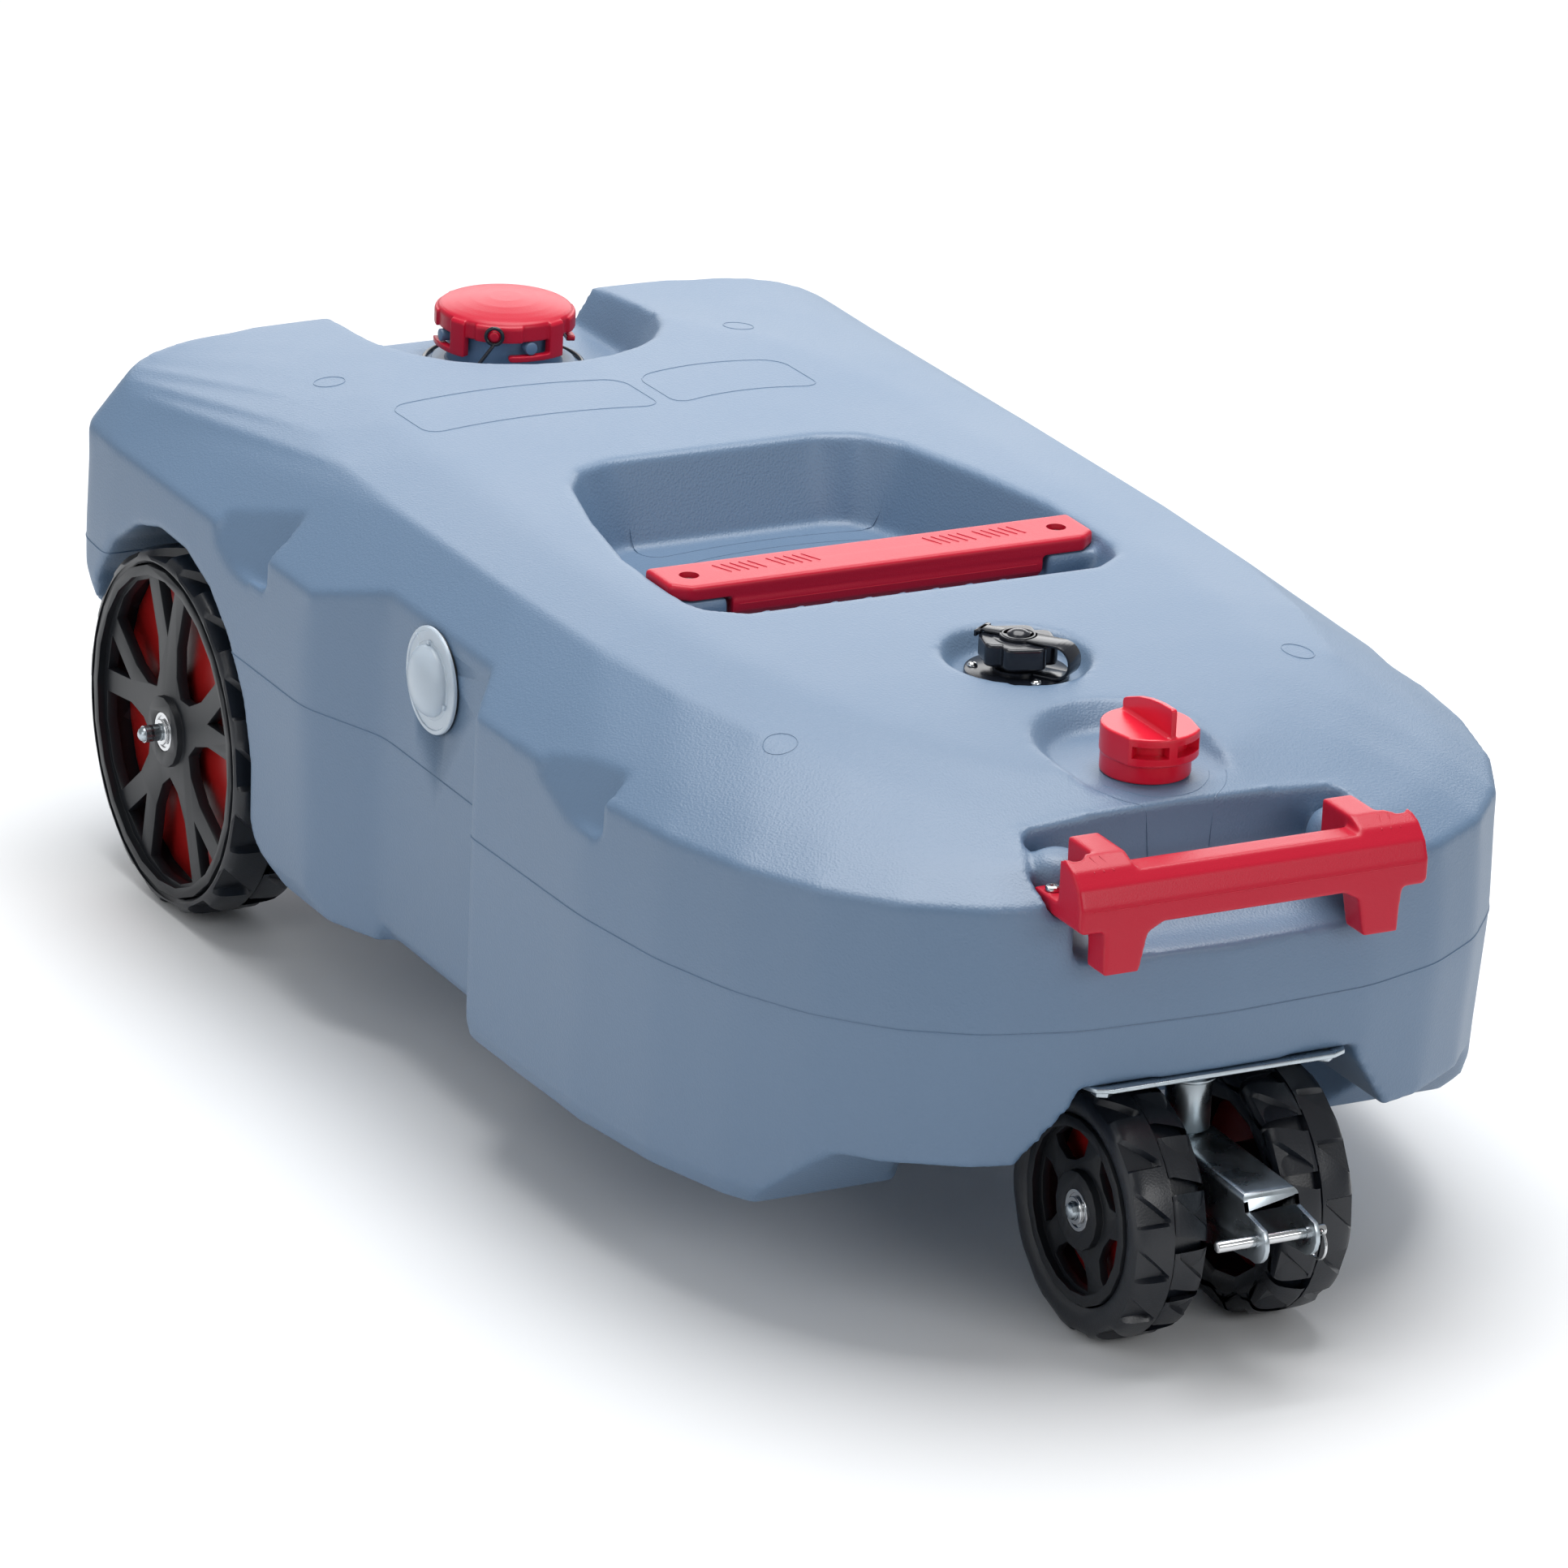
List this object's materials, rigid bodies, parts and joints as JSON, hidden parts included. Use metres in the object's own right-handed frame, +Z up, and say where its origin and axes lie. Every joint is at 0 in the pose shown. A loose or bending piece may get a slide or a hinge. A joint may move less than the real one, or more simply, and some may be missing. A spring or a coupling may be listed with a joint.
{
  "type": "portable waste water tank",
  "caption": "Wheeled low waste water tank with lift and tow handles, swivelling twin-wheel caster, bayonet inlet cap, vent and rinse ports.",
  "frame": {"origin": "on the ground below the middle of the whole length and width", "axes": "+X to the tank's right seen from behind, +Y to the inlet end, -Y to the tow end, +Z up"},
  "size_m": [0.6662, 1.2137, 0.396],
  "materials": {
    "tank_plastic": "fine leather grain",
    "red_plastic": "satin moulded",
    "black_plastic": "satin moulded",
    "dark_red_plastic": "satin moulded",
    "clear_plastic": "frosted, see-through",
    "seal_rubber": "plain",
    "tyre_rubber": "moulded lugs",
    "zinc_steel": "bright zinc plate",
    "bright_steel": "polished"
  },
  "bodies": {
    "tank": {"tank_shell": "tank_plastic", "inlet_neck": "tank_plastic", "top_handle": "red_plastic", "top_handle_screw_left": "bright_steel", "top_handle_screw_right": "bright_steel", "front_handle": "red_plastic", "front_handle_screw_left": "bright_steel", "front_handle_screw_right": "bright_steel", "level_window": "clear_plastic", "window_gasket": "seal_rubber", "rinse_flange": "black_plastic", "rinse_screw_1": "bright_steel", "rinse_screw_2": "bright_steel", "rinse_screw_3": "bright_steel", "rear_axle": "zinc_steel", "rear_clip_left": "bright_steel", "rear_clip_right": "bright_steel", "caster_plate": "zinc_steel", "kingpin_plate": "zinc_steel", "kingpin_nut": "zinc_steel", "thrust_washer": "zinc_steel", "caster_bolt_1": "zinc_steel", "caster_bolt_2": "zinc_steel", "caster_bolt_3": "zinc_steel", "caster_bolt_4": "zinc_steel"},
    "caster_swivel": {"caster_collar": "zinc_steel", "tow_channel": "zinc_steel", "front_axle": "zinc_steel", "front_clip_left": "bright_steel", "front_clip_right": "bright_steel"},
    "pull_pin": {"tow_pin": "bright_steel"},
    "split_ring": {"pin_ring": "bright_steel"},
    "inlet_closure": {"inlet_cap": "red_plastic", "inlet_gasket": "seal_rubber", "cap_tether": "black_plastic"},
    "vent_sealing": {"vent_seal": "seal_rubber"},
    "vent_closure": {"vent_cap": "red_plastic"},
    "rinse_keeper": {"rinse_strap": "black_plastic"},
    "rinse_closure": {"rinse_cap": "black_plastic"},
    "rear_wheel_left": {"rear_tyre_left": "tyre_rubber", "rear_rim_left": "black_plastic", "rear_disc_left": "dark_red_plastic", "rear_bearing_left_outer": "bright_steel", "rear_bearing_left_inner": "bright_steel"},
    "front_wheel_left": {"front_tyre_left": "tyre_rubber", "front_rim_left": "black_plastic", "front_disc_left": "dark_red_plastic", "front_bearing_left_outer": "bright_steel", "front_bearing_left_inner": "bright_steel"},
    "rear_wheel_right": {"rear_tyre_right": "tyre_rubber", "rear_rim_right": "black_plastic", "rear_disc_right": "dark_red_plastic", "rear_bearing_right_outer": "bright_steel", "rear_bearing_right_inner": "bright_steel"},
    "front_wheel_right": {"front_tyre_right": "tyre_rubber", "front_rim_right": "black_plastic", "front_disc_right": "dark_red_plastic", "front_bearing_right_outer": "bright_steel", "front_bearing_right_inner": "bright_steel"}
  },
  "joints": [
    {"name": "rear_wheel_left_spin", "type": "hinge", "parent": "tank", "child": "rear_wheel_left", "pos_m": [-0.2841, 0.41595, 0.13], "axis": [1, 0, 0], "continuous": true},
    {"name": "rear_wheel_right_spin", "type": "hinge", "parent": "tank", "child": "rear_wheel_right", "pos_m": [0.2841, 0.41595, 0.13], "axis": [1, 0, 0], "continuous": true},
    {"name": "caster_turn", "type": "hinge", "parent": "tank", "child": "caster_swivel", "pos_m": [0, -0.47035, 0.15], "axis": [0, 0, 1], "continuous": true},
    {"name": "front_wheel_left_spin", "type": "hinge", "parent": "caster_swivel", "child": "front_wheel_left", "pos_m": [-0.0531, -0.47035, 0.0846], "axis": [1, 0, 0], "continuous": true},
    {"name": "front_wheel_right_spin", "type": "hinge", "parent": "caster_swivel", "child": "front_wheel_right", "pos_m": [0.0531, -0.47035, 0.0846], "axis": [1, 0, 0], "continuous": true},
    {"name": "tow_pin_pull", "type": "slide", "parent": "caster_swivel", "child": "pull_pin", "axis": [1, 0, 0], "range_m": [0, 0.068]},
    {"name": "ring_swing", "type": "hinge", "parent": "pull_pin", "child": "split_ring", "pos_m": [0.027, -0.59235, 0.1044], "axis": [0, -1, 0], "range_deg": [-10, 95]},
    {"name": "inlet_cap_turn", "type": "hinge", "parent": "tank", "child": "inlet_closure", "pos_m": [0, 0.53295, 0.37], "axis": [0, 0, 1], "range_deg": [0, 30]},
    {"name": "vent_rise", "type": "slide", "parent": "tank", "child": "vent_sealing", "axis": [0, 0, 1], "range_m": [0, 0.0045]},
    {"name": "vent_turn", "type": "hinge", "parent": "vent_sealing", "child": "vent_closure", "pos_m": [0, -0.39235, 0.37], "axis": [0, 0, 1], "range_deg": [0, 546]},
    {"name": "rinse_rise", "type": "slide", "parent": "tank", "child": "rinse_keeper", "axis": [0, 0, 1], "range_m": [0, 0.004]},
    {"name": "rinse_turn", "type": "hinge", "parent": "rinse_keeper", "child": "rinse_closure", "pos_m": [0, -0.22385, 0.37], "axis": [0, 0, 1], "range_deg": [0, 486]}
  ],
  "couplings": [
    {"joint": "vent_turn", "follows": "vent_rise", "rad_per_m": 2094.4},
    {"joint": "rinse_turn", "follows": "rinse_rise", "rad_per_m": 2094.4}
  ]
}
